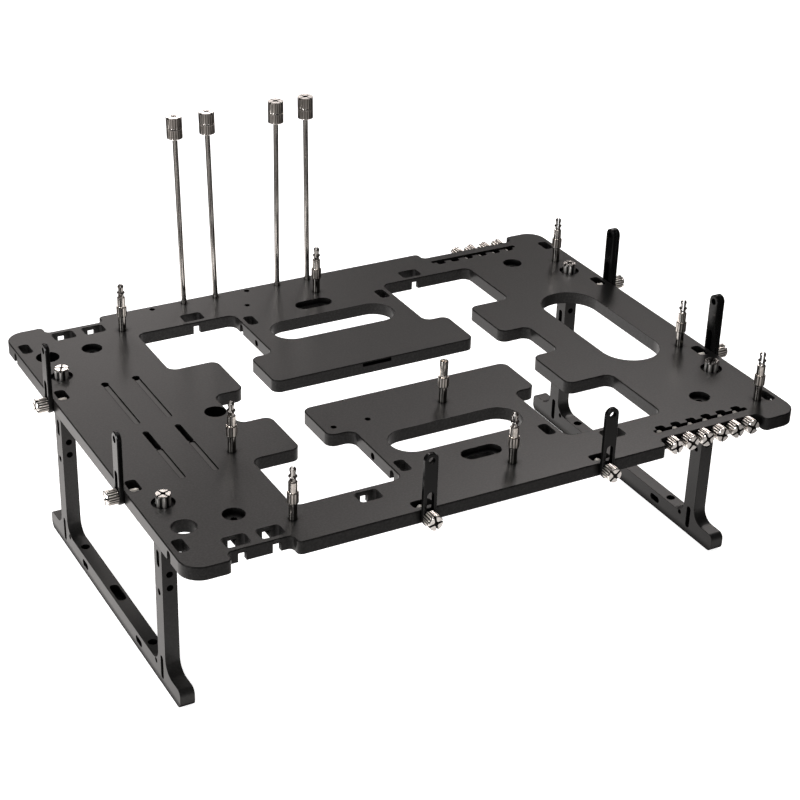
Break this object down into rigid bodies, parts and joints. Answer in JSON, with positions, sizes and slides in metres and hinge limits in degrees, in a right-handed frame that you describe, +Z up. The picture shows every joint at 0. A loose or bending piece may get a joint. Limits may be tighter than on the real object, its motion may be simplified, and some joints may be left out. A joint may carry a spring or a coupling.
{
  "type": "open air test bench",
  "caption": "Open air computer test bench: a flat cut-out plate on side frames, with board stand-offs, fan brackets, thumb screws and slim card posts.",
  "frame": {"origin": "on the floor, at the middle of the overall footprint", "axes": "+X to the right along the front edge, +Y to the rear where the card posts stand, +Z up"},
  "size_m": [0.3798, 0.2799, 0.2266],
  "materials": {
    "black_aluminium": "satin black anodised",
    "nickel": "bright nickel plated"
  },
  "bodies": {
    "root": {"alignment_post": "nickel", "card_post_1": "nickel", "card_post_2": "nickel", "card_post_3": "nickel", "card_post_4": "nickel", "card_post_cap_1": "nickel", "card_post_cap_2": "nickel", "card_post_cap_3": "nickel", "card_post_cap_4": "nickel", "card_post_nut_1": "nickel", "card_post_nut_2": "nickel", "card_post_nut_3": "nickel", "card_post_nut_4": "nickel", "front_left_bracket": "black_aluminium", "front_left_bracket_screw": "nickel", "front_right_bracket": "black_aluminium", "front_right_bracket_screw": "nickel", "front_spare_screws": "nickel", "left_front_bracket": "black_aluminium", "left_front_bracket_screw": "nickel", "left_front_leg_screw": "nickel", "left_leg_frame": "black_aluminium", "left_rear_bracket": "black_aluminium", "left_rear_bracket_screw": "nickel", "left_rear_leg_screw": "nickel", "main_plate": "black_aluminium", "rear_spare_screws": "nickel", "right_front_bracket_screw": "nickel", "right_front_inner_bracket": "black_aluminium", "right_front_leg_screw": "nickel", "right_front_outer_bracket": "black_aluminium", "right_leg_frame": "black_aluminium", "right_rear_bracket_screw": "nickel", "right_rear_inner_bracket": "black_aluminium", "right_rear_leg_screw": "nickel", "right_rear_outer_bracket": "black_aluminium", "standoff_front_left": "nickel", "standoff_front_middle": "nickel", "standoff_front_right": "nickel", "standoff_middle_left": "nickel", "standoff_middle_right": "nickel", "standoff_rear_left": "nickel", "standoff_rear_middle": "nickel", "standoff_rear_right": "nickel"}
  },
  "joints": []
}
